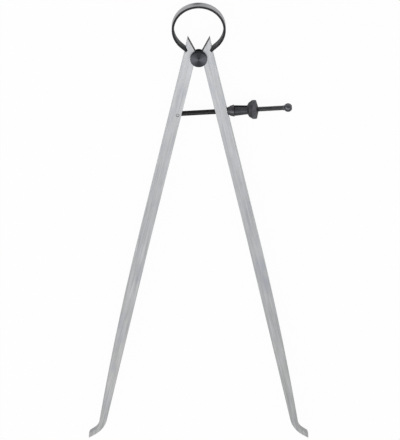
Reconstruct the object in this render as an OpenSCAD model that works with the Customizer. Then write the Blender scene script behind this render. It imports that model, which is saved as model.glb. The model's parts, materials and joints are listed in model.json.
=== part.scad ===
// Spring inside caliper, lying flat with its front face up.
// The legs swing in the X-Y plane about a fulcrum axis along Z.
// The bow spring is towards +Y and the turned-out feet are towards -Y.
// All lengths are in millimetres and all angles in degrees.

/* [Legs] */
// Distance along a leg from the fulcrum axis to the lower corner of its foot
leg_reach = 300.6; // [200:0.1:340]
// Width of a leg between its inner and outer edge
leg_w = 8; // [7.6:0.1:10]
// Thickness of a leg from its front to its back face
leg_t = 4.6; // [4.4:0.1:6]
// Gap between the two inner edges at the fulcrum when the legs are parallel
leg_gap = 4.2; // [3.6:0.1:5]
// Angle between the two legs as stored
spread_angle = 24.72; // [16:0.01:30]
// Height of a horn's point above the fulcrum axis, along the leg
horn_rise = 13; // [11:0.1:15]
// How far a horn's point stands out past the outer edge of its leg
horn_out = 0.3; // [0.1:0.05:0.6]
// Angle the legs can still close from where they are stored
close_angle = 25; // [15:0.5:25]
// Angle the legs can still open from where they are stored
open_angle = 22; // [10:0.5:22]

/* [Feet] */
// Length of the narrowing stretch from the straight bar to the bend of the foot
taper_len = 150; // [80:1:160]
// Width of the leg just above the bend of the foot
neck_w = 4.2; // [3.2:0.1:5.5]
// How far the inner edge leans inward by the bend of the foot
sweep_in = 0.95; // [0.3:0.05:1]
// Angle of the foot's lower edge, measured from square across the leg
foot_under = 43.5; // [35:0.5:50]
// Angle of the foot's upper edge, measured from square across the leg
foot_over = 48; // [40:0.5:55]
// Height of the measuring end of the foot, along the leg
tip_h = 3.9; // [2.8:0.1:4.4]
// Radius of the crown on the measuring end
tip_r = 7; // [4:0.5:20]
// Radius on the outside of the foot's bend
bend_r = 18; // [8:0.5:20]
// Radius in the crook of the foot's bend
crook_r = 7; // [2:0.5:9]

/* [Fulcrum stud] */
// Diameter of the core that the legs roll on
core_d = 6.6; // [5.6:0.1:7.2]
// Diameter of the front flange
flange_d = 11.3; // [9:0.1:13]
// Thickness of the front flange
flange_t = 2.2; // [1.2:0.1:3]
// Diameter of the collar behind the legs
collar_d = 8.3; // [7.4:0.1:9]
// Thickness of the collar behind the legs
collar_t = 1.4; // [0.6:0.1:2]
// Chamfer on the rims of the stud
stud_chamfer = 0.25; // [0.1:0.05:0.4]
// Running clearance of the stud in the legs
stud_clear = 0.05; // [0.02:0.01:0.1]

/* [Bow spring] */
// Mean diameter of the bow
bow_d = 34.6; // [32:0.1:38]
// Thickness of the spring strip
bow_t = 1.55; // [1:0.05:1.8]
// Width of the spring strip
bow_w = 5.7; // [4:0.1:8]
// Height of the centre of the bow above the fulcrum axis
bow_rise = 21.55; // [20.5:0.05:23]
// Angle from straight down to each end of the round part of the bow
bow_mouth = 43; // [38:0.5:46]
// Length of the straight lead at each end of the strip
bow_lead = 5.2; // [4.2:0.1:5.8]
// Clearance between the ends of the strip and their notches
notch_clear = 0.04; // [0.02:0.01:0.1]
// Angle by which a notch opens wider than the strip
notch_flare = 24; // [15:1:30]

/* [Adjusting screw] */
// Diameter of the screw over its thread
screw_d = 3.3; // [2.8:0.1:3.4]
// Distance of the pivot pin below the fulcrum axis, along the left leg
pin_drop = 45.3; // [40:0.1:60]
// Distance of the pivot pin from the inner edge of the left leg
pin_inset = 2.4; // [2:0.05:3.5]
// Diameter of the pivot pin
pin_d = 2.4; // [1.8:0.1:2.6]
// Diameter of the eye of the screw
eye_d = 4.6; // [4.4:0.1:5.4]
// Running clearance of the eye on its pin
pin_clear = 0.04; // [0.02:0.01:0.08]
// Length of the screw from the swivel centre to the centre of the ball
screw_out = 39.1; // [38:0.1:60]
// Diameter of the ball at the end of the screw
ball_d = 5.8; // [4.6:0.1:8]
// Diameter of the flat where the ball is faced off
ball_flat_d = 2.4; // [1:0.1:3]
// Length of the turned-down tail of the screw inside the ball
tail_len = 3.4; // [2:0.1:4]
// Diameter of the turned-down tail of the screw
tail_d = 2; // [1.4:0.1:2.2]
// Clearance above and below the screw in the slots of the legs
slot_clear = 0.15; // [0.1:0.01:0.3]
// Clearance beside the screw in the slots of the legs
side_clear = 0.4; // [0.3:0.05:0.6]

/* [Swivel washer] */
// Radius of the round nose that seats in the right leg
nose_r = 2.85; // [2.4:0.05:3]
// Distance of the swivel centre outside the outer edge of the right leg
seat_out = 1.4; // [0.8:0.05:1.8]
// Distance of the swivel centre below the fulcrum axis, along the right leg
seat_drop = 44.55; // [40:0.05:60]
// Diameter of the washer at the swivel centre, where its nose begins
washer_base_d = 6.5; // [6.1:0.1:7]
// Length of the washer from the swivel centre to its rim
washer_len = 3.1; // [2:0.05:4]
// Diameter of the rim of the washer
washer_d = 8.2; // [7.6:0.1:9]
// Diameter of the mouth of the cup in the washer
cup_d = 6.6; // [6:0.1:7]
// Clearance of the screw in the bore of the washer
washer_clear = 0.1; // [0.05:0.01:0.1]
// Clearance between the nose and its seat, and between the cup and the nut
seat_clear = 0.05; // [0.03:0.01:0.1]

/* [Adjusting nut] */
// Diameter of the split jaws at their end
jaw_d = 7.2; // [6.8:0.1:7.6]
// Diameter of the sleeve where it meets the head
sleeve_d = 6; // [5.6:0.1:6.4]
// Width of the flat lip at the mouth of the jaws
jaw_lip = 0.4; // [0.2:0.05:0.6]
// Length of the sleeve from the jaws' shoulder to the head
sleeve_len = 8.3; // [6:0.1:12]
// Width of the slit between the jaws
slit_w = 1.4; // [0.6:0.1:1.8]
// Turn of the slit about the screw, from the front towards the bow
slit_turn = 78; // [0:1:180]
// Diameter of the knurled rim of the head
head_d = 12.8; // [11:0.1:16]
// Width of the knurled rim of the head
rim_w = 1.9; // [1.4:0.1:4]
// Diameter of the head's shoulder beside the sleeve
shoulder_d = 9.8; // [8:0.1:10.4]
// Length of the head's shoulder beside the sleeve
shoulder_len = 1.2; // [0.8:0.05:2]
// Diameter of the head's step beside the rim
step_d = 11; // [10.5:0.1:12]
// Length of the head's step beside the rim
step_len = 1.05; // [0.8:0.05:2]
// Length of the bevel from the step up to the rim
bevel_len = 1.2; // [0.6:0.05:1.6]
// Radius of the round between the rim and the outer face
rim_round = 1.1; // [0.4:0.1:1.5]
// Rise of the crowned outer face
crown_rise = 0.9; // [0.3:0.05:1.5]
// Diameter of the flat end of the head round the screw
end_d = 3.8; // [3.6:0.1:5]
// Running clearance of the nut on the screw
nut_clear = 0.05; // [0.02:0.01:0.1]

/* [Hidden] */

// Colours of the two finishes
steel = [0.74, 0.75, 0.76];
black = [0.13, 0.13, 0.14];

// Number of facets drawn on each kind of round face
fine = 96;
wide = 720;

// Turn between the points of the round on the nut's rim
round_step = 15;

// How far a cutting shape runs past what it cuts
over = 1;

// Turns a point by an angle about the fulcrum axis
function turned(p, a) = [
    p[0] * cos(a) - p[1] * sin(a),
    p[0] * sin(a) + p[1] * cos(a)
];

// Direction at an angle from +X
function polar(a) = [cos(a), sin(a)];

// Edges of a leg in its own frame, with the fulcrum axis at the origin
half_spread = spread_angle / 2;
inner_x = leg_gap / 2;
outer_x = inner_x + leg_w;

// Corners where the edges of the foot meet the edges of the leg
bend_x = inner_x - sweep_in;
bend_y = -leg_reach + (outer_x - bend_x) * tan(foot_under);
crook_x = bend_x + neck_w;
crook_y = -leg_reach + tip_h + (outer_x - crook_x) * tan(foot_over);
taper_y = crook_y + taper_len;
lean = atan(sweep_in / (taper_y - bend_y));

// Long swell that narrows the outer edge of the leg
taper_drop = outer_x - crook_x;
taper_r = (taper_len * taper_len + taper_drop * taper_drop) / (2 * taper_drop);
swell_mid = [outer_x - taper_r, taper_y];

// Round in the crook, which meets the swell and the foot's upper edge
over_out = polar(90 - foot_over);
over_gap = over_out * ([outer_x, -leg_reach + tip_h] - swell_mid) + crook_r;
swell_end = 90 - foot_over - acos(over_gap / (taper_r + crook_r));
crook_mid = swell_mid + (taper_r + crook_r) * polar(swell_end);
crook_high = swell_mid + taper_r * polar(swell_end);
crook_low = crook_mid - crook_r * over_out;
clear_x = crook_mid[0] + over;

// Centre of the round on the outside of the bend
bend_half = (90 - lean + foot_under) / 2;
bend_aim = (90 - lean - foot_under) / 2;
bend_mid = [bend_x, bend_y] + bend_r / sin(bend_half) * polar(bend_aim);

// Radius of the seat of the stud, and where the horn's cut reaches it
recess_r = core_d / 2 + stud_clear;
recess_y = sqrt(recess_r * recess_r - inner_x * inner_x);

// Pivot pin, swivel centre and line of the screw as stored
pin_leg = [inner_x + pin_inset, -pin_drop];
pin_at_right = turned(pin_leg, half_spread);
pin_at = [-pin_at_right[0], pin_at_right[1]];
seat_at = turned([outer_x + seat_out, -seat_drop], half_spread);
chord = seat_at - pin_at;
chord_len = norm(chord);
screw_turn = atan2(chord[1], chord[0]);

// Share of the leg's swing that the screw follows
seat_r = norm(seat_at);
seat_dir = atan2(seat_at[1], seat_at[0]);
swing_share = seat_r * cos(seat_dir - screw_turn) / chord_len;

// Angles that the screw makes with each leg at the two ends of its swing
left_low = screw_turn - close_angle * swing_share;
left_high = screw_turn + open_angle * swing_share;
right_low = screw_turn - open_angle * (1 - swing_share);
right_high = screw_turn + close_angle * (1 - swing_share);

// Slots and bores sized from the screw and its clearances
slot_h = screw_d + 2 * slot_clear;
slot_side = screw_d / 2 + side_clear;
pin_hole_d = pin_d + 2 * pin_clear;
washer_bore = screw_d + 2 * washer_clear;
nut_bore = screw_d + 2 * nut_clear;

// Stations of the nut along the screw, from the swivel centre
cup_r = cup_d / 2;
jaw_y = washer_len + seat_clear * sqrt(2) + jaw_d / 2 - cup_r;
nose_y = jaw_y - jaw_d / 2 + nut_bore / 2 + jaw_lip;
head_y = jaw_y + sleeve_len;
shoulder_y = head_y + shoulder_len;
step_y = shoulder_y + step_len;
rim_y = step_y + bevel_len;
face_y = rim_y + rim_w;
end_y = face_y + rim_round + crown_rise;
round_mid = [head_d / 2 - rim_round, face_y];

// Ends of the bow spring and the notches that hold them
bow_r = bow_d / 2;
bow_end = [bow_r * sin(bow_mouth), bow_rise - bow_r * cos(bow_mouth)]
    - bow_lead * polar(bow_mouth);
notch_at = bow_end
    + (bow_t / 2 + notch_clear) * polar(bow_mouth + 90)
    - notch_clear * polar(bow_mouth);

// Box of the whole object, which fixes the origin of the model
foot_low = turned([outer_x, -leg_reach], half_spread)[1];
box_top = bow_rise + bow_r + bow_t / 2;
origin_y = (foot_low + box_top) / 2;
origin_z = -head_d / 2;

// Puts everything in the frame of the whole object, its bottom at zero
module placed() {
    translate([0, -origin_y, -origin_z])
        children();
}

// Puts a piece on the screw, with its own Z along the screw
module on_screw(at) {
    translate([at[0], at[1], 0])
        rotate([0, 0, screw_turn])
            rotate([90, 0, 90])
                children();
}

// Extrudes an outline through a leg, past both faces by a margin
module through_leg(margin) {
    translate([0, 0, -leg_t / 2 - margin])
        linear_extrude(height = leg_t + 2 * margin)
            children();
}

// Round post through a leg, past both faces by a margin
module leg_post(at, r, margin, facets) {
    translate([at[0], at[1], -leg_t / 2 - margin])
        cylinder(h = leg_t + 2 * margin, r = r, $fn = facets);
}

// Outline of a leg with sharp corners, before its curves are cut
module leg_blank() {
    polygon([
        [inner_x, recess_y],
        [inner_x, taper_y],
        [bend_x, bend_y],
        [outer_x, -leg_reach],
        [outer_x, -leg_reach + tip_h],
        [outer_x, 0],
        [outer_x + horn_out, horn_rise]
    ]);
}

// Open space beside the swell of the outer edge
module taper_cut() {
    difference() {
        through_leg(over)
            polygon([
                crook_high - over * polar(swell_end),
                crook_mid,
                [clear_x, crook_mid[1]],
                [clear_x, taper_y],
                [outer_x - over, taper_y]
            ]);
        leg_post(swell_mid, taper_r, 2 * over, wide);
    }
}

// Open space in the crook of the foot
module crook_cut() {
    tip_top = [outer_x, -leg_reach + tip_h];
    leg_post(crook_mid, crook_r, over, 2 * fine);
    through_leg(over)
        polygon([
            crook_mid,
            crook_low,
            tip_top,
            [clear_x, tip_top[1]],
            [clear_x, crook_mid[1]]
        ]);
}

// Point of the foot's bend, which is rounded off
module bend_cut() {
    first = 180 - lean;
    last = 270 - foot_under;
    difference() {
        through_leg(over)
            polygon([
                bend_mid,
                bend_mid + (bend_r + over) * polar(first),
                [bend_x - over, bend_y - bend_r],
                bend_mid + (bend_r + over) * polar(last)
            ]);
        leg_post(bend_mid, bend_r, 2 * over, 2 * fine);
    }
}

// Crown of the measuring end
module tip_crown() {
    back = sqrt(tip_r * tip_r - tip_h * tip_h / 4);
    intersection() {
        leg_post([outer_x - back, -leg_reach + tip_h / 2], tip_r, 0, 2 * fine);
        through_leg(0)
            translate([outer_x, -leg_reach])
                square([tip_h, tip_h]);
    }
}

// Solid of one leg turned to where it is stored, standing for the right leg
module leg_bar() {
    rotate([0, 0, half_spread])
        difference() {
            union() {
                through_leg(0)
                    leg_blank();
                tip_crown();
            }
            taper_cut();
            crook_cut();
            bend_cut();
            leg_post([0, 0], recess_r, over, fine);
        }
}

// Notch that holds one end of the bow spring
module notch() {
    reach = leg_w;
    translate([0, 0, -leg_t / 2 - over])
        linear_extrude(height = leg_t + 2 * over)
            polygon([
                notch_at,
                notch_at + reach * polar(bow_mouth - 90),
                notch_at + reach * polar(bow_mouth - 45),
                notch_at + reach * polar(bow_mouth),
                notch_at + reach * polar(bow_mouth + notch_flare)
            ]);
}

// Fan-shaped slot from a centre, between two directions
module fan_slot(at, low, high, far) {
    translate([at[0], at[1], -slot_h / 2])
        linear_extrude(height = slot_h)
            union() {
                rotate(low)
                    translate([0, -slot_side])
                        square([far, 2 * slot_side]);
                rotate(high)
                    translate([0, -slot_side])
                        square([far, 2 * slot_side]);
                polygon([[0, 0], far * polar(low), far * polar(high)]);
            }
}

module left_leg() {
    color(steel)
        placed()
            difference() {
                mirror([1, 0, 0])
                    leg_bar();
                mirror([1, 0, 0])
                    notch();
                fan_slot(pin_at, left_low, left_high, leg_w);
                translate([pin_at[0], pin_at[1], -slot_h / 2])
                    cylinder(h = slot_h, d = eye_d + 2 * side_clear, $fn = fine);
                translate([pin_at[0], pin_at[1], -leg_t / 2 - over])
                    cylinder(h = leg_t + 2 * over, d = pin_d, $fn = fine);
            }
}

module right_leg() {
    color(steel)
        placed()
            difference() {
                leg_bar();
                notch();
                fan_slot(seat_at, right_low + 180, right_high + 180, 2 * leg_w);
                translate([seat_at[0], seat_at[1], 0])
                    sphere(r = nose_r + seat_clear, $fn = fine);
            }
}

module fulcrum_stud() {
    front = leg_t / 2 + stud_clear;
    color(black)
        placed()
            rotate_extrude($fn = fine)
                polygon([
                    [0, -front - collar_t],
                    [collar_d / 2 - stud_chamfer, -front - collar_t],
                    [collar_d / 2, -front - collar_t + stud_chamfer],
                    [collar_d / 2, -front],
                    [core_d / 2, -front],
                    [core_d / 2, front],
                    [flange_d / 2, front],
                    [flange_d / 2, front + flange_t - stud_chamfer],
                    [flange_d / 2 - stud_chamfer, front + flange_t],
                    [0, front + flange_t]
                ]);
}

// Drum with a straight-sided nose that follows the leads of the bow to a length
module bow_drum(r, lead, h) {
    away = bow_mouth - 90;
    far = r * polar(away) - lead * polar(bow_mouth);
    translate([0, bow_rise, -h / 2]) {
        cylinder(h = h, r = r, $fn = 2 * fine);
        linear_extrude(height = h)
            polygon([
                [0, 0],
                r * polar(away),
                far,
                [-far[0], far[1]],
                r * polar(180 - away)
            ]);
    }
}

// Everything past the two ends of the strip
module bow_opening() {
    right = bow_end + bow_r * polar(bow_mouth - 90);
    up = bow_end + bow_t * polar(bow_mouth + 90);
    translate([0, 0, -bow_w])
        linear_extrude(height = 2 * bow_w)
            polygon([
                [0, up[1]],
                up,
                right,
                [0, -bow_r],
                [-right[0], right[1]],
                [-up[0], up[1]]
            ]);
}

module bow_spring() {
    color(black)
        placed()
            difference() {
                bow_drum(bow_r + bow_t / 2, bow_lead + over, bow_w);
                bow_drum(bow_r - bow_t / 2, bow_lead + over, bow_w + over);
                bow_opening();
            }
}

module pivot_pin() {
    color(black)
        placed()
            translate([pin_at[0], pin_at[1], -leg_t / 2])
                cylinder(h = leg_t, d = pin_d, $fn = fine);
}

module adjusting_screw() {
    ball_back = sqrt(ball_d * ball_d - screw_d * screw_d) / 2;
    shank_end = chord_len + screw_out - ball_back;
    color(black)
        placed()
            difference() {
                union() {
                    translate([pin_at[0], pin_at[1], -screw_d / 2])
                        cylinder(h = screw_d, d = eye_d, $fn = fine);
                    on_screw(pin_at)
                        cylinder(h = shank_end, d = screw_d, $fn = fine);
                    on_screw(pin_at)
                        cylinder(h = shank_end + tail_len, d = tail_d, $fn = fine);
                }
                translate([pin_at[0], pin_at[1], -screw_d])
                    cylinder(h = 2 * screw_d, d = pin_hole_d, $fn = fine);
            }
}

module ball_end() {
    ball_back = sqrt(ball_d * ball_d - screw_d * screw_d) / 2;
    ball_front = sqrt(ball_d * ball_d - ball_flat_d * ball_flat_d) / 2;
    color(black)
        placed()
            on_screw(seat_at)
                translate([0, 0, screw_out])
                    difference() {
                        sphere(d = ball_d, $fn = fine);
                        translate([0, 0, -ball_back - ball_d])
                            cylinder(h = ball_d, d = ball_d, $fn = fine);
                        translate([0, 0, ball_front])
                            cylinder(h = ball_d, d = ball_d, $fn = fine);
                        translate([0, 0, -ball_back - over])
                            cylinder(h = tail_len + over, d = tail_d, $fn = fine);
                    }
}

module swivel_washer() {
    color(black)
        placed()
            on_screw(seat_at)
                difference() {
                    union() {
                        sphere(r = nose_r, $fn = fine);
                        cylinder(h = washer_len, d1 = washer_base_d, d2 = washer_d, $fn = fine);
                    }
                    translate([0, 0, washer_len])
                        cylinder(h = nose_r, d = washer_d, $fn = fine);
                    translate([0, 0, -nose_r - over])
                        cylinder(h = 2 * nose_r + washer_len, d = washer_bore, $fn = fine);
                    translate([0, 0, washer_len - cup_r])
                        cylinder(h = cup_r, r1 = 0, r2 = cup_r, $fn = fine);
                }
}

module adjusting_nut() {
    color(black)
        placed()
            on_screw(seat_at)
                rotate([0, 0, 90 - slit_turn])
                    difference() {
                        rotate_extrude($fn = fine)
                            polygon([
                                [nut_bore / 2, nose_y],
                                [nut_bore / 2 + jaw_lip, nose_y],
                                [jaw_d / 2, jaw_y],
                                [sleeve_d / 2, head_y],
                                [shoulder_d / 2, shoulder_y],
                                [step_d / 2, step_y],
                                [head_d / 2, rim_y],
                                for (a = [0:round_step:90]) round_mid + rim_round * polar(a),
                                [end_d / 2, end_y],
                                [nut_bore / 2, end_y]
                            ]);
                        translate([-jaw_d, -slit_w / 2, 0])
                            cube([2 * jaw_d, slit_w, head_y]);
                    }
}

left_leg();
right_leg();
fulcrum_stud();
bow_spring();
pivot_pin();
adjusting_screw();
ball_end();
swivel_washer();
adjusting_nut();
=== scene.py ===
import json
import math

import bmesh
import bpy
from mathutils import Matrix, Vector

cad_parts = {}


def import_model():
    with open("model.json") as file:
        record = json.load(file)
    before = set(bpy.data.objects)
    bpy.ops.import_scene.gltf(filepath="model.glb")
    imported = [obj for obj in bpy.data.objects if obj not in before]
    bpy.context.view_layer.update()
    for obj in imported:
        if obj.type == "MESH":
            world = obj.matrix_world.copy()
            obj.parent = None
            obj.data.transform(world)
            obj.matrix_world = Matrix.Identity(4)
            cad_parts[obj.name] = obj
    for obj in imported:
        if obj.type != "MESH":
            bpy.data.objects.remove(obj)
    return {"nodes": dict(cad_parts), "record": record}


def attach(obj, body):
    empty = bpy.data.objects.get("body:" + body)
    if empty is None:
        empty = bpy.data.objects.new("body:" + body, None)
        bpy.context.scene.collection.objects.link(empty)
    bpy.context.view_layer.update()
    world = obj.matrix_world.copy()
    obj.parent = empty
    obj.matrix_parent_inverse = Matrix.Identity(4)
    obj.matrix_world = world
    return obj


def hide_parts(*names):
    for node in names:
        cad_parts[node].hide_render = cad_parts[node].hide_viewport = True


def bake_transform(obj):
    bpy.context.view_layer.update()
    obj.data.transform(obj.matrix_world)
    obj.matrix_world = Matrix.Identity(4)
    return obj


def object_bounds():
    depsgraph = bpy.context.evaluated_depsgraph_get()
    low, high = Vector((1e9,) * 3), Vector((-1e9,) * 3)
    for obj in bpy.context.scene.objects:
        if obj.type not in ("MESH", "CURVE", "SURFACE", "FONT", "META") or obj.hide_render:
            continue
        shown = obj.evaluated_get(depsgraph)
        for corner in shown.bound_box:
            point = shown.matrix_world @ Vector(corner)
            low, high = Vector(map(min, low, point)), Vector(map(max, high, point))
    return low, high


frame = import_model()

cad_low, cad_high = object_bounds()

MM = 0.001

# Sizes of the pieces as in the solids, in millimetres and degrees
leg_w = 8.0
leg_t = 4.6
leg_gap = 4.2
horn_rise = 13.0
horn_out = 0.3
half_spread = 12.36
core_d = 6.6
flange_d = 11.3
flange_t = 2.2
collar_d = 8.3
collar_t = 1.4
stud_chamfer = 0.25
stud_clear = 0.05
bow_d = 34.6
bow_t = 1.55
bow_w = 5.7
bow_rise = 21.55
bow_mouth = 43.0
bow_lead = 5.2
screw_d = 3.3
pin_d = 2.4
eye_d = 4.6
pin_clear = 0.04
screw_out = 39.1
ball_d = 5.8
ball_flat_d = 2.4
nose_r = 2.85
washer_base_d = 6.5
washer_len = 3.1
washer_d = 8.2
cup_d = 6.6
washer_clear = 0.1
seat_clear = 0.05
jaw_d = 7.2
jaw_lip = 0.4
sleeve_d = 6.0
sleeve_len = 8.3
slit_w = 1.4
slit_turn = 78.0
head_d = 12.8
rim_w = 1.9
shoulder_d = 9.8
shoulder_len = 1.2
step_d = 11.0
step_len = 1.05
bevel_len = 1.2
rim_round = 1.1
crown_rise = 0.9
end_d = 3.8
nut_clear = 0.05

# Fine forms that only the scene has, in millimetres and degrees
broken_edge = 0.13
stud_round = 0.08
dimple_r = 0.7
dimple_deep = 0.3
bow_corner = 0.16
bow_tongue = 0.02
pin_round = 0.18
eye_round = 0.2
shank_round = 0.05
thread_start = 26.5
thread_pitch = 0.6
thread_depth = 0.2
thread_root = 0.22
ball_edge = 0.12
ball_dimple_r = 0.45
ball_dimple_deep = 0.14
washer_round = 0.12
nut_round = 0.12
knurl_teeth = 52
knurl_depth = 0.28
knurl_angle = 30.0
knurl_margin = 0.12
slit_edge = 0.07

# Share of the rim's rounding that the knurl runs over
knurl_over = 0.75

# How far back from the bow's tips the strip is measured, and how much slimmer it is there
bow_tips = ((0.0, 0.14), (0.12, 0.04), (0.3, 0.0))

# Places of the joints, read from the frame
joints = {j["name"]: j for j in frame["record"]["behaviour"]["joints"]}
fulcrum = Vector(joints["leg_open"]["pos_m"])
pin_at = Vector(joints["screw_swing"]["pos_m"])
seat_at = Vector(joints["nut_spin"]["pos_m"])
along = Vector(joints["nut_spin"]["axis"]).normalized()
chord = (seat_at - pin_at).length / MM
leg_end = -cad_low.y / MM


def on_screw(at):
    """Matrix that puts a piece on the screw, its own Z along the screw, its Y to the front."""
    side = Vector((-along.y, along.x, 0))
    turned = Matrix((side, Vector((0, 0, 1)), along)).transposed().to_4x4()
    return Matrix.Translation(at) @ turned


def upright(at):
    """Matrix that puts a piece at a point with its own Z along the fulcrum axis."""
    return Matrix.Translation(at)


# Mesh helpers

def soften(points, r, closed=True, steps=3):
    """Rounds the corners of a profile of (radius, height) points."""
    # A smaller turn, in radians, is left as it is, and a corner takes no more than this share of a side
    straight, most = 0.05, 0.42
    out = []
    n = len(points)
    for i, p in enumerate(points):
        p = Vector(p)
        if not closed and i in (0, n - 1):
            out.append(tuple(p))
            continue
        to_last = Vector(points[i - 1]) - p
        to_next = Vector(points[(i + 1) % n]) - p
        turn = math.pi - to_last.angle(to_next)
        if turn < straight:
            out.append(tuple(p))
            continue
        cut = min(r * math.tan(turn / 2), most * to_last.length, most * to_next.length)
        start = p + to_last.normalized() * cut
        end = p + to_next.normalized() * cut
        for k in range(steps + 1):
            t = k / steps
            out.append(tuple(start * (1 - t) ** 2 + p * 2 * t * (1 - t) + end * t * t))
    return out


def lathe(profile, seg, closed=True, radius=None):
    """Turns a profile of (radius, height) points into vertices and faces."""
    verts, faces, rings = [], [], []
    for r, z in profile:
        if r == 0:
            rings.append([len(verts)])
            verts.append((0.0, 0.0, z))
            continue
        ring = []
        for k in range(seg):
            a = 2 * math.pi * k / seg
            reach = radius(r, z, a) if radius else r
            ring.append(len(verts))
            verts.append((reach * math.cos(a), reach * math.sin(a), z))
        rings.append(ring)
    last = len(rings) if closed else len(rings) - 1
    for i in range(last):
        a, b = rings[i], rings[(i + 1) % len(rings)]
        for k in range(seg):
            n = (k + 1) % seg
            if len(a) == 1:
                faces.append((a[0], b[n], b[k]))
            elif len(b) == 1:
                faces.append((a[k], a[n], b[0]))
            else:
                faces.append((a[k], a[n], b[n], b[k]))
    return verts, faces


def piece(name, parts, matrix, body, node, materials, sharp):
    """Makes one piece from lists of vertices and faces in millimetres, on its body."""
    bm = bmesh.new()
    for verts, faces in parts:
        made = [bm.verts.new(Vector(v) * MM) for v in verts]
        for f in faces:
            bm.faces.new([made[i] for i in f])
    bmesh.ops.recalc_face_normals(bm, faces=bm.faces)
    bm.transform(matrix)
    return as_piece(name, bm, body, node, materials, sharp)


def as_piece(name, bm, body, node, materials, sharp):
    """Makes a mesh into a piece that replaces a node. With no body, it is left unattached."""
    mesh = bpy.data.meshes.new(name)
    bm.to_mesh(mesh)
    bm.free()
    for m in materials:
        mesh.materials.append(m)
    shade(mesh, sharp)
    obj = bpy.data.objects.new(name, mesh)
    bpy.context.scene.collection.objects.link(obj)
    if body:
        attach(obj, body)
    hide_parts(node)
    return obj


def shade(mesh, sharp):
    """Smooth shading, with an edge wherever the faces turn by more than sharp, in degrees."""
    mesh.shade_smooth()
    mesh.set_sharp_from_angle(angle=math.radians(sharp))


# Materials

WHITE = (1.0, 1.0, 1.0)


class Finish:
    """A material that is being made, with the node steps that the finishes share."""

    def __init__(self, name):
        self.material = bpy.data.materials.new(name)
        self.material.use_nodes = True
        self.nodes = self.material.node_tree.nodes
        self.links = self.material.node_tree.links
        self.shader = self.nodes["Principled BSDF"]

    def feed(self, socket, value):
        """Links a socket to an output, or sets it to a number or colour."""
        if isinstance(value, bpy.types.NodeSocket):
            self.links.new(value, socket)
        else:
            socket.default_value = value

    def give(self, name, value):
        """Feeds one of the shader's own sockets."""
        self.feed(self.shader.inputs[name], value)

    def node(self, kind, inputs=(), **settings):
        """Adds a node with its settings and fed inputs."""
        node = self.nodes.new(kind)
        for name, value in settings.items():
            setattr(node, name, value)
        for key, value in dict(inputs).items():
            self.feed(node.inputs[key], value)
        return node

    def calc(self, operation, *values):
        """Result of one step of arithmetic on outputs or numbers."""
        return self.node("ShaderNodeMath", enumerate(values), operation=operation).outputs[0]

    def vector(self, operation, *values):
        """Result of one step on vectors, a number where it is a length."""
        node = self.node("ShaderNodeVectorMath", enumerate(values), operation=operation)
        return node.outputs["Value" if operation == "LENGTH" else "Vector"]

    def place(self):
        """The point on the piece in its own coordinates, which are the frame's."""
        return self.node("ShaderNodeTexCoord").outputs["Object"]

    def parts(self, vector):
        """The X, Y and Z parts of a vector."""
        return self.node("ShaderNodeSeparateXYZ", {0: vector}).outputs

    def from_axis(self, at):
        """Offset of a point from an upright axis through a joint."""
        return self.vector("MULTIPLY", self.vector("SUBTRACT", self.place(), tuple(at)), (1, 1, 0))

    def noise(self, scale, detail, seed, rough=0.6, turn=0.0):
        """Noise on the piece's own coordinates. Scale is in cells per millimetre along each axis."""
        spin = self.node("ShaderNodeMapping", {
            "Vector": self.place(),
            "Rotation": (0, 0, math.radians(turn)),
            "Location": (seed, seed * 0.7, 0),
        })
        stretch = self.node("ShaderNodeMapping", {
            "Vector": spin.outputs["Vector"],
            "Scale": tuple(s / MM for s in scale),
        })
        noise = self.node("ShaderNodeTexNoise", {
            "Vector": stretch.outputs["Vector"],
            "Scale": 1.0,
            "Detail": detail,
            "Roughness": rough,
        })
        return noise.outputs["Fac"]

    def rescaled(self, value, low, high, to_low, to_high, how="LINEAR"):
        """A value moved from one range to another."""
        node = self.node("ShaderNodeMapRange", {
            "Value": value,
            "From Min": low,
            "From Max": high,
            "To Min": to_low,
            "To Max": to_high,
        }, interpolation_type=how)
        return node.outputs["Result"]

    def band(self, value, middle, reach):
        """One at a middle value, falling softly to nothing at a reach on either side."""
        away = self.calc("ABSOLUTE", self.calc("SUBTRACT", value, middle))
        return self.rescaled(away, 0.0, reach, 1.0, 0.0, "SMOOTHSTEP")

    def ramp(self, value, *stops):
        """Colour by a value, from (position, colour) stops in rising order."""
        node = self.node("ShaderNodeValToRGB", {"Fac": value})
        elements = node.color_ramp.elements
        elements[0].position = stops[0][0]
        elements[0].color = (*stops[0][1], 1)
        elements[1].position = stops[-1][0]
        elements[1].color = (*stops[-1][1], 1)
        for position, colour in stops[1:-1]:
            elements.new(position).color = (*colour, 1)
        return node.outputs["Color"]

    def multiplied(self, colour, by, share=1.0):
        """A colour multiplied by another, with a share of the full effect."""
        node = self.node("ShaderNodeMix", {"Factor": share, "A": colour, "B": by},
                         data_type="RGBA", blend_type="MULTIPLY")
        return node.outputs["Result"]

    def roughen(self, value, low, high):
        """Roughness that follows a noise, nearly all of which lies between 0.3 and 0.7."""
        self.give("Roughness", self.rescaled(value, 0.3, 0.7, low, high))

    def bump(self, height, strength, distance):
        """Relief that follows a noise, its depth in millimetres."""
        node = self.node("ShaderNodeBump", {
            "Height": height,
            "Strength": strength,
            "Distance": distance * MM,
        })
        self.give("Normal", node.outputs["Normal"])


def painted_light_along_legs(finish, upper):
    """Painted light and shade: a tone that goes from an upper grey at the legs' middle to a less blue one
    near their ends.
    """
    share_down = 0.7
    end = -share_down * leg_end * MM
    down = finish.rescaled(finish.parts(finish.place())["Y"], 0.0, end, 0.0, 1.0, "SMOOTHSTEP")
    return finish.ramp(down, (0.0, (upper, upper, upper)), (1.0, (1.0, 0.992, 0.970)))


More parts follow.
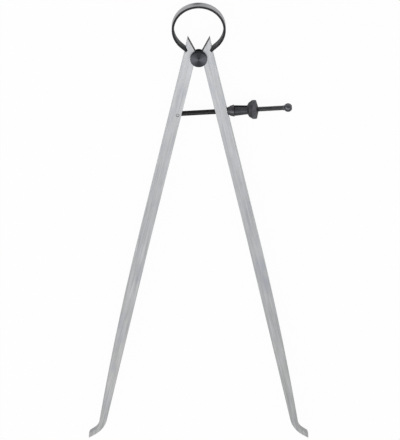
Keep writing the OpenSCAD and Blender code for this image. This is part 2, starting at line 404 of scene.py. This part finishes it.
def ground_steel(name, dark, light, turn, seed, upper):
    """Steel ground along the leg: fine streaks, a slow mottle, and painted light that shifts its tone from
    the upper end towards the ends.
    """
    finish = Finish(name)
    finish.give("Metallic", 1.0)
    streak = finish.noise((2.2, 0.035, 2.2), detail=4.0, seed=seed, turn=turn)
    broad = finish.noise((0.5, 0.012, 0.5), detail=2.0, seed=seed + 3, rough=0.5, turn=turn)
    mottle = finish.noise((0.16, 0.07, 0.16), detail=4.0, seed=seed + 7, turn=turn)
    colour = finish.ramp(streak, (0.3, dark), (0.7, light))
    bands = finish.ramp(broad, (0.3, (0.90, 0.90, 0.91)), (0.7, WHITE))
    clouds = finish.ramp(mottle, (0.32, (0.875, 0.89, 0.925)), (0.5, (0.955, 0.96, 0.93)), (0.68, WHITE))
    colour = finish.multiplied(colour, bands, 0.5)
    colour = finish.multiplied(colour, clouds)
    # Painted light and shade along the leg, from the upper grey at its top end to the tone near its ends
    colour = finish.multiplied(colour, painted_light_along_legs(finish, upper))
    finish.give("Base Color", colour)
    finish.roughen(streak, 0.34, 0.46)
    finish.bump(streak, 0.35, 0.03)
    return finish.material


def blackened(name, metal):
    """The start of a blackened finish: part metal, part dull, with dim edges."""
    finish = Finish(name)
    finish.give("Metallic", metal)
    finish.give("Specular IOR Level", 0.12)
    finish.give("Specular Tint", (0.15, 0.15, 0.15, 1))
    return finish


def black_oxide(name, base, light, rough, grain=3.6, seed=0.0, metal=0.5):
    """Blackened steel with faint cloudy tones and a fine grain, in cells per millimetre."""
    finish = blackened(name, metal)
    cloud = finish.noise((0.35, 0.35, 0.35), detail=4.0, seed=seed)
    fine = finish.noise((grain, grain, grain), detail=3.0, seed=seed + 5)
    colour = finish.ramp(cloud, (0.32, base), (0.7, light))
    specks = finish.ramp(fine, (0.3, (0.75, 0.75, 0.76)), (0.7, WHITE))
    finish.give("Base Color", finish.multiplied(colour, specks, 0.8))
    finish.roughen(cloud, *rough)
    finish.bump(fine, 0.3, 0.02)
    return finish.material


def turned_face_painted_reflection(name):
    """Turned end face with fine rings, and a painted reflection: light to the left and right, dark up and
    down.
    """
    finish = blackened(name, 0.6)
    finish.give("Roughness", 0.34)
    offset = finish.from_axis(fulcrum)
    sideways = finish.calc("ABSOLUTE", finish.parts(finish.vector("NORMALIZE", offset))["X"])
    # Painted reflection: light wedges to the left and right of the stud's axis, dark above and below
    painted_reflection_fan = finish.ramp(sideways, (0.25, (0.045, 0.047, 0.053)), (0.75, (0.085, 0.089, 0.101)),
                      (0.97, (0.135, 0.142, 0.160)))
    rings = finish.node("ShaderNodeTexNoise", {
        "W": finish.vector("LENGTH", offset),
        "Scale": 2.6 / MM,
        "Detail": 2.0,
    }, noise_dimensions="1D").outputs["Fac"]
    shades = finish.ramp(rings, (0.3, (0.82, 0.82, 0.82)), (0.7, WHITE))
    finish.give("Base Color", finish.multiplied(painted_reflection_fan, shades))
    finish.bump(rings, 0.2, 0.02)
    return finish.material


def bow_outside(name):
    """Outer face of the bow: rolled strip, grey, with clouds and a dark streak at the top."""
    finish = Finish(name)
    finish.give("Metallic", 1.0)
    grain = finish.noise((0.03, 0.03, 1.6), detail=3.0, seed=2.0)
    cloud = finish.noise((0.12, 0.12, 0.3), detail=2.0, seed=4.0, rough=0.5)
    colour = finish.ramp(grain, (0.35, (0.30, 0.30, 0.315)), (0.65, (0.46, 0.46, 0.48)))
    clouds = finish.ramp(cloud, (0.35, (0.72, 0.72, 0.73)), (0.6, WHITE))
    colour = finish.multiplied(colour, clouds)
    # The streak lies a little to the left of the middle and behind it, and is longer than it is wide
    streak_x, streak_z = -1.0 * MM, fulcrum.z - 1.0 * MM
    streak_len, streak_wide = 5.5 * MM, 1.5 * MM
    place = finish.parts(finish.place())
    across = finish.band(place["X"], streak_x, streak_len)
    high = finish.band(place["Z"], streak_z, streak_wide)
    streak = finish.ramp(finish.calc("MULTIPLY", across, high), (0.0, WHITE), (1.0, (0.10, 0.10, 0.11)))
    finish.give("Base Color", finish.multiplied(colour, streak))
    finish.roughen(grain, 0.32, 0.45)
    finish.bump(grain, 0.3, 0.03)
    return finish.material


def pin_end(name):
    """End of the pin: ground flush with the leg, its seam a dark ring."""
    finish = Finish(name)
    finish.give("Metallic", 1.0)
    finish.give("Roughness", 0.4)
    share_out = finish.calc("DIVIDE", finish.vector("LENGTH", finish.from_axis(pin_at)), pin_d / 2 * MM)
    seam = finish.ramp(share_out, (0.62, (0.56, 0.565, 0.58)), (0.82, (0.10, 0.10, 0.105)))
    grain = finish.noise((2.0, 2.0, 2.0), detail=3.0, seed=9.0)
    shades = finish.ramp(grain, (0.3, (0.85, 0.85, 0.85)), (0.7, WHITE))
    finish.give("Base Color", finish.multiplied(seam, shades))
    return finish.material


# The legs are one steel: the right leg's copy is painted darker than the left's as shade, and each leg's
# upper grey is painted light
left_steel = ground_steel("ground_steel_left", (0.55, 0.556, 0.585), (0.825, 0.831, 0.867),
                          turn=half_spread, seed=1.0, upper=0.835)
right_steel_painted_shade = ground_steel("ground_steel_right_painted_shade", (0.49, 0.498, 0.526), (0.73, 0.739, 0.775),
                           turn=-half_spread, seed=5.0, upper=0.92)
# Darker copies of the ground steel for the legs' sides and broken edges are painted shade, and their upper
# grey of 1.4 is painted light at the top end
side_steel_painted_shade = ground_steel("ground_steel_side_painted_shade", (0.30, 0.305, 0.316), (0.42, 0.425, 0.438),
                          turn=0, seed=13.0, upper=1.4)
edge_steel_painted_shade = ground_steel("ground_steel_edge_painted_shade", (0.34, 0.345, 0.355), (0.44, 0.445, 0.457),
                          turn=0, seed=11.0, upper=1.4)
# The horn's cut face: a dark blackened tone that is painted shade
cut_face_painted_shade = black_oxide("cut_face", (0.12, 0.12, 0.125), (0.19, 0.19, 0.195),
                        rough=(0.4, 0.55), grain=6.0, seed=2.0)
black = black_oxide("black_oxide", (0.070, 0.071, 0.077), (0.105, 0.106, 0.115),
                    rough=(0.28, 0.38))
black_strip = black_oxide("black_strip", (0.034, 0.034, 0.037), (0.052, 0.052, 0.057),
                          rough=(0.35, 0.45))
black_inner = black_oxide("black_inner_face", (0.125, 0.129, 0.129), (0.22, 0.226, 0.226),
                          rough=(0.3, 0.42), seed=3.0)
black_rod = black_oxide("black_rod", (0.033, 0.033, 0.034), (0.053, 0.053, 0.055),
                        rough=(0.22, 0.30), seed=1.0, metal=0.8)
black_thread = black_oxide("black_thread", (0.10, 0.101, 0.108), (0.15, 0.151, 0.160),
                           rough=(0.30, 0.40), seed=1.5)
black_washer = black_oxide("black_washer", (0.070, 0.071, 0.077), (0.14, 0.141, 0.151),
                           rough=(0.22, 0.30), grain=4.5, seed=8.0, metal=0.7)
black_ball = black_oxide("black_ball", (0.11, 0.112, 0.124), (0.185, 0.188, 0.206),
                         rough=(0.16, 0.24), grain=4.5, seed=8.0, metal=0.8)
black_knurled = black_oxide("black_knurled", (0.115, 0.116, 0.127), (0.195, 0.197, 0.213),
                            rough=(0.34, 0.46), grain=4.5, seed=6.0)
# The stud's finish, with its painted reflection
black_turned_painted_reflection = turned_face_painted_reflection("black_turned_painted_reflection")
bow_grey = bow_outside("bow_outer_face")
pin_steel = pin_end("pin_end")


# Legs

def on_outline(edge):
    """Whether an edge runs round the front or back face, the pin's hole left out."""
    if not edge.is_manifold:
        return False
    lean, same_height = 0.1, 0.01
    standing = [abs(f.normal.z) < lean for f in edge.link_faces]
    middle = (edge.verts[0].co + edge.verts[1].co) / 2 - pin_at
    on_face = abs(abs(middle.z) / MM - leg_t / 2) < same_height
    clear_of_pin = math.hypot(middle.x, middle.y) > pin_d * MM
    return on_face and any(standing) and not all(standing) and clear_of_pin


def leg(name, side, steel):
    """The solid's own shape with its edges broken; the horn's cut face, the broken edges and the sides take
    darker steel as painted shade.
    """
    bm = bmesh.new()
    bm.from_mesh(frame["nodes"][name].data)
    same_point = 0.002 * MM
    same_plane = math.radians(0.12)
    bmesh.ops.remove_doubles(bm, verts=bm.verts, dist=same_point)
    bmesh.ops.dissolve_limit(bm, angle_limit=same_plane, verts=bm.verts, edges=bm.edges)
    bm.normal_update()
    # The horn's cut face runs from the stud's hollow to the horn's tip, and this points out of it
    inner = leg_gap / 2
    hollow = math.sqrt((core_d / 2 + stud_clear) ** 2 - inner ** 2)
    turn = Matrix.Rotation(math.radians(half_spread) * side, 3, "Z")
    out_of_cut = turn @ Vector(((hollow - horn_rise) * side, leg_w + horn_out, 0)).normalized()
    on_top, on_cut, on_edge, on_side = range(4)
    half_upright, same_way = 0.5, 0.995
    for f in bm.faces:
        f.material_index = on_side if abs(f.normal.z) < half_upright else on_top
        if f.normal.dot(out_of_cut) > same_way:
            f.material_index = on_cut
    edges = [e for e in bm.edges if on_outline(e)]
    bmesh.ops.bevel(bm, geom=edges, offset=broken_edge * MM, offset_type="OFFSET", segments=2,
                    profile=0.5, affect="EDGES", clamp_overlap=True, material=on_edge)
    obj = as_piece(name + "_bar", bm, name, name, [steel, cut_face_painted_shade, edge_steel_painted_shade, side_steel_painted_shade],
                   sharp=34)
    obj.modifiers.new("flat_faces", "WEIGHTED_NORMAL").keep_sharp = True


leg("left_leg", -1, left_steel)
leg("right_leg", 1, right_steel_painted_shade)


# Fulcrum stud

def stud_profile():
    """Half section of the spool, with a dimple in the middle of its front face."""
    front = leg_t / 2 + stud_clear
    top = front + flange_t
    outline = soften([
        (0, -front - collar_t),
        (collar_d / 2 - stud_chamfer, -front - collar_t),
        (collar_d / 2, -front - collar_t + stud_chamfer),
        (collar_d / 2, -front),
        (core_d / 2, -front),
        (core_d / 2, front),
        (flange_d / 2, front),
        (flange_d / 2, top - stud_chamfer),
        (flange_d / 2 - stud_chamfer, top),
    ], stud_round, closed=False)
    # Rings on the front face, from just inside its rounded edge to the dimple
    rings, inset = 6, 0.05
    rim = flange_d / 2 - stud_chamfer - inset
    for k in range(rings + 1):
        outline.append((rim + (dimple_r - rim) * k / rings, top))
    outline += [(dimple_r / 2, top - dimple_deep / 2), (0, top - dimple_deep)]
    return outline


piece("fulcrum_stud_turned", [lathe(stud_profile(), 128, closed=False)], upright(fulcrum),
      "stud", "fulcrum_stud", [black_turned_painted_reflection], sharp=40)


# Bow spring

def bow_path():
    """Stations of the strip's right end, its arc and its left end: point, way out, and inset."""
    r = bow_d / 2
    mouth = math.radians(bow_mouth)
    start = Vector((r * math.sin(mouth), bow_rise - r * math.cos(mouth)))
    lead = Vector((math.cos(mouth), math.sin(mouth)))
    out = Vector((math.sin(mouth), -math.cos(mouth)))
    right = [(start - lead * (bow_lead - back), out, inset) for back, inset in bow_tips]
    right += [(start - lead * (bow_lead * share), out, 0) for share in (0.6, 0.3)]
    steps = 168
    first, last = mouth - math.pi / 2, 1.5 * math.pi - mouth
    arc = []
    for k in range(steps + 1):
        a = first + (last - first) * k / steps
        out = Vector((math.cos(a), math.sin(a)))
        arc.append((Vector((0, bow_rise)) + out * r, out, 0))
    left = [(Vector((-p.x, p.y)), Vector((-o.x, o.y)), inset) for p, o, inset in reversed(right)]
    return right, arc, left


def strip_section(inset, steps=3):
    """Cross-section of the strip as (outward, height) points, its corners rounded."""
    a, b = bow_t / 2 - inset, bow_w / 2 - inset
    points = []
    for cx, cy, first in ((a, b, 0), (-a, b, 90), (-a, -b, 180), (a, -b, 270)):
        mx, my = cx - math.copysign(bow_corner, cx), cy - math.copysign(bow_corner, cy)
        for k in range(steps + 1):
            t = math.radians(first + 90 * k / steps)
            points.append((mx + bow_corner * math.cos(t), my + bow_corner * math.sin(t)))
    return points


def strip(stations, cap_first, cap_last):
    """Vertices and faces of the strip, and each face's material: edge, outer or inner face."""
    on_edge, on_outer, on_inner = range(3)
    verts, faces, slots = [], [], []
    n = len(strip_section(0))
    kinds = [on_edge] * n
    kinds[n - 1] = on_outer
    kinds[n // 2 - 1] = on_inner
    for p, out, inset in stations:
        for u, z in strip_section(inset):
            q = p + out * u
            verts.append((q.x, q.y, z))
    for i in range(len(stations) - 1):
        for k in range(n):
            a, b = i * n + k, i * n + (k + 1) % n
            faces.append((a, b, b + n, a + n))
            slots.append(kinds[k])
    if cap_first:
        faces.append(tuple(range(n)))
        slots.append(on_edge)
    if cap_last:
        faces.append(tuple(reversed(range(len(verts) - n, len(verts)))))
        slots.append(on_edge)
    return verts, faces, slots


def bow_piece(name, stations, body, cap_first=False, cap_last=False):
    """A length of the bow. The ends that another length joins are left open."""
    verts, faces, slots = strip(stations, cap_first, cap_last)
    bm = bmesh.new()
    made = [bm.verts.new(Vector(v) * MM) for v in verts]
    for face, slot in zip(faces, slots):
        bm.faces.new([made[i] for i in face]).material_index = slot
    bmesh.ops.recalc_face_normals(bm, faces=bm.faces)
    bm.transform(Matrix.Translation(fulcrum))
    return as_piece(name, bm, body, "bow_spring", [black_strip, bow_grey, black_inner],
                    sharp=50)


def make_bow(lengths=5):
    """Rigid sides on the legs, and between them an arch in lengths that are on no body."""
    right_end, arc, left_end = bow_path()
    # The strip is parted where it runs straight up at its widest
    low = next(i for i, station in enumerate(arc) if station[0].y >= bow_rise)
    high = len(arc) - 1 - low
    bow_piece("bow_right_side", right_end + arc[:low + 1], "right_leg", cap_first=True)
    bow_piece("bow_left_side", arc[high:] + left_end, "left_leg", cap_last=True)
    cuts = [low + round((high - low) * k / lengths) for k in range(lengths + 1)]
    for k in range(lengths):
        stations = arc[cuts[k]:cuts[k + 1] + 1]
        if k < lengths - 1:
            # A tongue runs on inside the next length
            stations += [(p, out, bow_tongue) for p, out, inset in arc[cuts[k + 1]:cuts[k + 1] + 2]]
        arch = bow_piece("bow_arch_%d" % (k + 1), stations, None)
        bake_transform(arch)


make_bow()


# Pivot pin

def pin_profile():
    """Half section of the pin, its ends flush with the leg."""
    return soften([
        (0, -leg_t / 2),
        (pin_d / 2, -leg_t / 2),
        (pin_d / 2, leg_t / 2),
        (0, leg_t / 2),
    ], pin_round, closed=False, steps=4)


piece("pivot_pin_turned", [lathe(pin_profile(), 48, closed=False)], upright(pin_at),
      "left_leg", "pivot_pin", [pin_steel], sharp=40)


# Adjusting screw

ball_back = math.sqrt(ball_d ** 2 - screw_d ** 2) / 2
shank_end = chord + screw_out - ball_back


def thread(start, end, r, seg=24):
    """A right-hand thread between two heights, which fades out over a turn and a half at each end."""
    fade_turns = 1.5
    crest, root = thread_pitch / 8, thread_pitch / 4
    flank = (thread_pitch - crest - root) / 2
    section = [(0, 0), (crest, 0), (crest + flank, 1), (crest + flank + root, 1)]
    last = len(section) - 1
    total = (int((end - start) / thread_pitch) - 1) * seg
    verts, faces = [], []
    for i in range(total + 1):
        a = 2 * math.pi * i / seg
        fade = min(1.0, i / seg / fade_turns, (total - i) / seg / fade_turns)
        for rise, deep in section:
            reach = r - deep * thread_depth * fade
            height = start + thread_pitch * i / seg + rise
            verts.append((reach * math.cos(a), reach * math.sin(a), height))

    def at(i, j):
        """Number of a point of the section at a station."""
        return i * len(section) + j

    for i in range(total):
        for j in range(last):
            faces.append((at(i, j), at(i + 1, j), at(i + 1, j + 1), at(i, j + 1)))
        if i + seg < total:
            above = i + seg
            faces.append((at(i, last), at(i + 1, last), at(above + 1, 0), at(above, 0)))
    return verts, faces


def screw_eye(r):
    """The eye, turned so that its axis stands across the screw."""
    verts, faces = lathe(soften([
        (pin_d / 2 + pin_clear, -r),
        (eye_d / 2, -r),
        (eye_d / 2, r),
        (pin_d / 2 + pin_clear, r),
    ], eye_round), 64)
    return [(x, z, y) for x, y, z in verts], faces


def screw_shank(r):
    """The rod from the eye into the ball, turned down under the thread."""
    in_eye, in_ball = 1.4, 0.3
    full, turned_down = 0.8, 1.3
    return lathe(soften([
        (0, in_eye),
        (r, in_eye),
        (r, thread_start + full),
        (r - thread_root, thread_start + turned_down),
        (r - thread_root, shank_end - turned_down),
        (r, shank_end - full),
        (r, shank_end + in_ball),
        (0, shank_end + in_ball),
    ], shank_round, closed=False), 48, closed=False)


def make_screw():
    """The eye, the rod and the thread as one piece, the threaded stretch a little paler."""
    r = screw_d / 2
    clear_of_ball = 0.1
    parts = [screw_eye(r), screw_shank(r), thread(thread_start, shank_end - clear_of_ball, r)]
    screw = piece("adjusting_screw_threaded", parts, on_screw(pin_at), "screw", "adjusting_screw",
                  [black_rod, black_thread], sharp=40)
    for face in screw.data.polygons:
        threaded = (face.center - pin_at).dot(along) > thread_start * MM
        face.material_index = 1 if threaded else 0


make_screw()


# Ball end

def ball_profile():
    """Half section of the ball, from where the shank enters to a flat with a centre dimple."""
    r = ball_d / 2
    flat_r = ball_flat_d / 2
    flat = math.sqrt(r * r - flat_r ** 2)
    first = math.asin(screw_d / 2 / r)
    last = math.asin(flat_r / r)
    steps, round_shank = 40, 0.02
    foot_r, foot_rise = 0.2, 0.02
    points = [(0, -ball_back), (screw_d / 2 + round_shank, -ball_back)]
    for k in range(1, steps + 1):
        a = first + (math.pi - last - first) * k / steps
        points.append((r * math.sin(a), -r * math.cos(a)))
    points += [
        (flat_r - ball_edge, flat),
        (ball_dimple_r, flat),
        (foot_r, flat - ball_dimple_deep + foot_rise),
        (0, flat - ball_dimple_deep),
    ]
    return points


piece("ball_end_turned", [lathe(ball_profile(), 96, closed=False)],
      on_screw(seat_at) @ Matrix.Translation((0, 0, screw_out * MM)),
      "screw", "ball_end", [black_ball], sharp=45)


# Swivel washer

def washer_profile():
    """Section of the washer: a round nose, a cone that widens to the rim, and a cup for the jaws."""
    bore = screw_d / 2 + washer_clear
    cup = cup_d / 2
    back = -math.sqrt(nose_r ** 2 - bore ** 2)
    first = math.asin(bore / nose_r)
    steps, ring_in = 12, 0.6
    points = []
    for k in range(steps + 1):
        a = first + (math.pi / 2 - first) * k / steps
        points.append((nose_r * math.sin(a), -nose_r * math.cos(a)))
    points += soften([
        (nose_r, 0),
        (washer_base_d / 2, 0),
        (washer_d / 2, washer_len),
        (cup, washer_len),
        (bore, washer_len - cup + bore),
    ], washer_round, closed=False)[1:]
    # One more ring in the bore, close to the nose
    points.append((bore, back + ring_in))
    return points


piece("swivel_washer_turned", [lathe(washer_profile(), 96)], on_screw(seat_at),
      "washer", "swivel_washer", [black_washer], sharp=40)


# Adjusting nut

jaw_y = washer_len + seat_clear * math.sqrt(2) + jaw_d / 2 - cup_d / 2
nut_bore = screw_d + 2 * nut_clear
nose_y = jaw_y - jaw_d / 2 + nut_bore / 2 + jaw_lip
head_y = jaw_y + sleeve_len
shoulder_y = head_y + shoulder_len
step_y = shoulder_y + step_len
rim_y = step_y + bevel_len
face_y = rim_y + rim_w
end_y = face_y + rim_round + crown_rise
knurl_from = rim_y + knurl_margin
knurl_to = face_y + knurl_over * rim_round


def wave(t):
    """Rises from nothing to one and falls back once in each unit."""
    return 1 - abs(2 * (t % 1.0) - 1)


def knurled(r, z, a):
    """The nut's radius with a diamond knurl cut in its rim, fading out at both sides."""
    rim_r = head_d / 2
    if not knurl_from <= z <= knurl_to or r < rim_r - rim_round:
        return r
    flat_top, fade_in = 1.35, 0.2
    fade = max(0.0, min(1.0, (z - knurl_from) / fade_in, (knurl_to - z) / (knurl_to - face_y)))
    around = knurl_teeth * (a / (2 * math.pi))
    lead = math.tan(math.radians(knurl_angle)) / rim_r
    slant = knurl_teeth * lead * z / (2 * math.pi)
    ridge = min(wave(around + slant), wave(around - slant))
    return r - knurl_depth * fade * (1 - min(1.0, flat_top * ridge))


def nut_profile():
    """Section of the nut: jaws, sleeve, stepped shoulder, rim and crowned end."""
    rim_r = head_d / 2
    inner = nut_bore / 2
    past_corner, past_round = 0.02, 0.1
    front = soften([
        (inner, nose_y),
        (inner + jaw_lip, nose_y),
        (jaw_d / 2, jaw_y),
        (sleeve_d / 2, head_y),
        (shoulder_d / 2, shoulder_y),
        (step_d / 2, step_y),
        (rim_r, rim_y),
        (rim_r, rim_y + past_corner),
    ], nut_round, closed=False)
    rows, steps = 16, 12
    rim = [(rim_r, knurl_from + (face_y - knurl_from) * k / rows) for k in range(rows)]
    turns = [math.pi / 2 * k / steps for k in range(steps + 1)]
    corner = [(rim_r - rim_round + rim_round * math.cos(t), face_y + rim_round * math.sin(t)) for t in turns]
    end = soften([
        (rim_r - rim_round - past_round, face_y + rim_round),
        (end_d / 2, end_y),
        (inner, end_y),
    ], nut_round, closed=False)
    return front + rim + corner + end


def slit_nut(nut):
    """Mesh of the nut with the slit between its jaws cut across."""
    bm = bmesh.new()
    bmesh.ops.create_cube(bm, size=1.0)
    bmesh.ops.scale(bm, vec=(2 * jaw_d * MM, slit_w * MM, head_y * MM), verts=bm.verts)
    bmesh.ops.translate(bm, vec=(0, 0, head_y * MM / 2), verts=bm.verts)
    mesh = bpy.data.meshes.new("slit_cutter")
    bm.to_mesh(mesh)
    bm.free()
    cutter = bpy.data.objects.new("slit_cutter", mesh)
    bpy.context.scene.collection.objects.link(cutter)
    slit = nut.modifiers.new("slit", "BOOLEAN")
    slit.operation = "DIFFERENCE"
    slit.solver = "EXACT"
    slit.object = cutter
    graph = bpy.context.evaluated_depsgraph_get()
    cut = bpy.data.meshes.new_from_object(nut.evaluated_get(graph))
    nut.modifiers.remove(slit)
    bpy.data.objects.remove(cutter)
    return cut


def make_nut():
    """The nut is made upright, cut and given its finishes, then put on the screw."""
    nut = piece("adjusting_nut_knurled", [lathe(nut_profile(), knurl_teeth * 6, radius=knurled)],
                Matrix.Identity(4), None, "adjusting_nut", [black, black_knurled],
                sharp=40)
    bm = bmesh.new()
    bm.from_mesh(slit_nut(nut))
    crisp, knurl_depths_in = math.radians(60), 2.5
    edges = [e for e in bm.edges if e.is_manifold and e.calc_face_angle() > crisp]
    bmesh.ops.bevel(bm, geom=edges, offset=slit_edge * MM, offset_type="OFFSET", segments=2,
                    profile=0.5, affect="EDGES", clamp_overlap=True, material=-1)
    rim_inside = head_d / 2 - knurl_depths_in * knurl_depth
    for f in bm.faces:
        c = f.calc_center_median() / MM
        on_rim = rim_y < c.z < face_y + rim_round and math.hypot(c.x, c.y) > rim_inside
        f.material_index = 1 if on_rim else 0
    bm.transform(on_screw(seat_at) @ Matrix.Rotation(math.radians(90 - slit_turn), 4, "Z"))
    bm.to_mesh(nut.data)
    bm.free()
    shade(nut.data, 40)
    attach(nut, "nut")


make_nut()


# Floor, light and camera

# Half the floor's width and its depth below the object, in metres, its grey, and how white it is seen
floor_reach = 4.0
floor_drop = 0.0002
floor_grey = 0.93
floor_seen_white = 0.96

# The photograph's size and where it has the stud's axis, in pixels, and its scale there
picture_w, picture_h = 400, 440
stud_px_x, stud_px_y = 198.72, 57.78
px_per_mm = 1.4875

# The camera stands far off, tilted towards the bow, in degrees and millimetres
camera_tilt = 28.84
camera_roll = -0.017
camera_far = 11000.0
sensor = 36


def floor_paint():
    """Pale paint that takes shadows, and that the camera and reflections see as nearly white."""
    finish = Finish("floor")
    finish.nodes.clear()
    path = finish.node("ShaderNodeLightPath").outputs
    seen = finish.calc("MAXIMUM", path["Is Camera Ray"], path["Is Glossy Ray"])
    seen = finish.calc("MAXIMUM", seen, path["Is Transmission Ray"])
    share = finish.calc("MULTIPLY", seen, floor_seen_white)
    pale = finish.node("ShaderNodeBsdfDiffuse", {"Color": (floor_grey, floor_grey, floor_grey, 1)})
    white = finish.node("ShaderNodeEmission", {"Color": (*WHITE, 1), "Strength": 1.0})
    mix = finish.node("ShaderNodeMixShader", {0: share, 1: pale.outputs[0], 2: white.outputs[0]})
    finish.node("ShaderNodeOutputMaterial", {"Surface": mix.outputs[0]})
    return finish.material


def floor():
    """A plain floor just under the object."""
    bm = bmesh.new()
    bmesh.ops.create_grid(bm, x_segments=1, y_segments=1, size=floor_reach)
    mesh = bpy.data.meshes.new("floor")
    bm.to_mesh(mesh)
    bm.free()
    mesh.materials.append(floor_paint())
    obj = bpy.data.objects.new("floor", mesh)
    obj.location = (0, 0, -floor_drop)
    bpy.context.scene.collection.objects.link(obj)


def world(level):
    """Even white light from all round."""
    studio = bpy.data.worlds.new("studio")
    bpy.context.scene.world = studio
    studio.use_nodes = True
    sky = studio.node_tree.nodes["Background"]
    sky.inputs["Color"].default_value = (*WHITE, 1)
    sky.inputs["Strength"].default_value = level


def lamp(name, at, size, power):
    """A soft rectangular light aimed at the object's middle, in metres and watts."""
    data = bpy.data.lights.new(name, "AREA")
    data.shape = "RECTANGLE"
    data.size, data.size_y = size
    data.energy = power
    obj = bpy.data.objects.new(name, data)
    obj.location = at
    obj.rotation_euler = (-Vector(at)).to_track_quat("-Z", "Y").to_euler()
    bpy.context.scene.collection.objects.link(obj)


def camera():
    """A far camera that has the stud's axis where the photograph has it."""
    tilt, roll = math.radians(camera_tilt), math.radians(camera_roll)
    away = Vector((0, math.sin(tilt), math.cos(tilt)))
    right = Vector((1, 0, 0))
    up = Vector((0, math.cos(tilt), -math.sin(tilt)))
    x = right * math.cos(roll) - up * math.sin(roll)
    y = right * math.sin(roll) + up * math.cos(roll)
    # The picture is to scale at the depth of the frame's origin
    stud = fulcrum / MM
    target = stud - away * away.dot(stud)
    target += x * (picture_w / 2 - stud_px_x) / px_per_mm + y * (stud_px_y - picture_h / 2) / px_per_mm
    data = bpy.data.cameras.new("camera")
    data.sensor_width = sensor
    data.lens = sensor * camera_far / (picture_h / px_per_mm)
    data.clip_start = 0.1
    data.clip_end = 30.0
    obj = bpy.data.objects.new("camera", data)
    turned = Matrix((x, y, away)).transposed().to_4x4()
    obj.matrix_world = Matrix.Translation((target + away * camera_far) * MM) @ turned
    bpy.context.scene.collection.objects.link(obj)
    bpy.context.scene.camera = obj


floor()
world(0.5)
lamp("top_softbox", at=(0, -0.12, 1.0), size=(1.8, 0.45), power=4.0)
lamp("left_softbox", at=(-0.9, 0.15, 0.7), size=(0.5, 0.5), power=1.5)
camera()
bpy.context.scene.view_settings.view_transform = "Standard"
